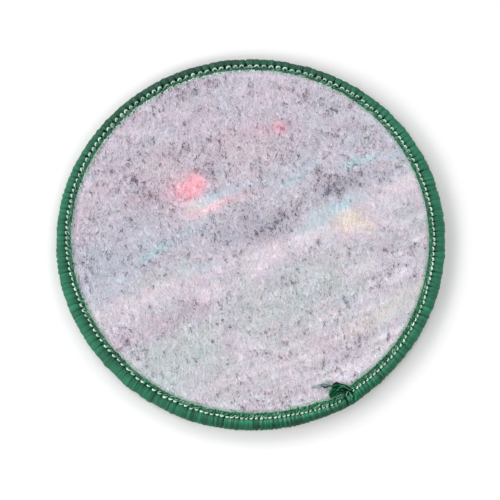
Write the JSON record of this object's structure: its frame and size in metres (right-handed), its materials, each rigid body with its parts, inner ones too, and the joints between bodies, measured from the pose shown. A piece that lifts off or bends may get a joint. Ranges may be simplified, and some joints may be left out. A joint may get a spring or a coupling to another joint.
{
  "type": "hook-and-loop patch",
  "caption": "Round hook-and-loop patch lying on its printed front, with a napped loop fabric back and a merrowed edge of wrapped yarn that ends in a short thread tail.",
  "frame": {"origin": "centre of the patch, on the plane that the underside of its edge rests on", "axes": "+Z out of the loop side, +Y away from the picture's viewer, +X to the viewer's right"},
  "size_m": [0.08, 0.08, 0.003],
  "materials": {
    "edge_yarn": "green multi-filament yarn with a soft sheen, wrapped side by side over the rim",
    "lock_thread": "pale mint bobbin thread, satin",
    "chain_yarn": "green multi-filament yarn in slanted chain stitches",
    "loop_pile": "white napped loop pile with soft lavender, grey and pink show-through",
    "face_twill": "printed polyester twill, matte, muted diagonal bands",
    "tail_yarn": "dark green yarn end, twisted and frayed"
  },
  "bodies": {
    "root": {"edge_wraps": "edge_yarn", "lock_thread": "lock_thread", "inner_chain": "chain_yarn", "loop_backing": "loop_pile", "face_fabric": "face_twill", "thread_tail": "tail_yarn"}
  },
  "joints": []
}
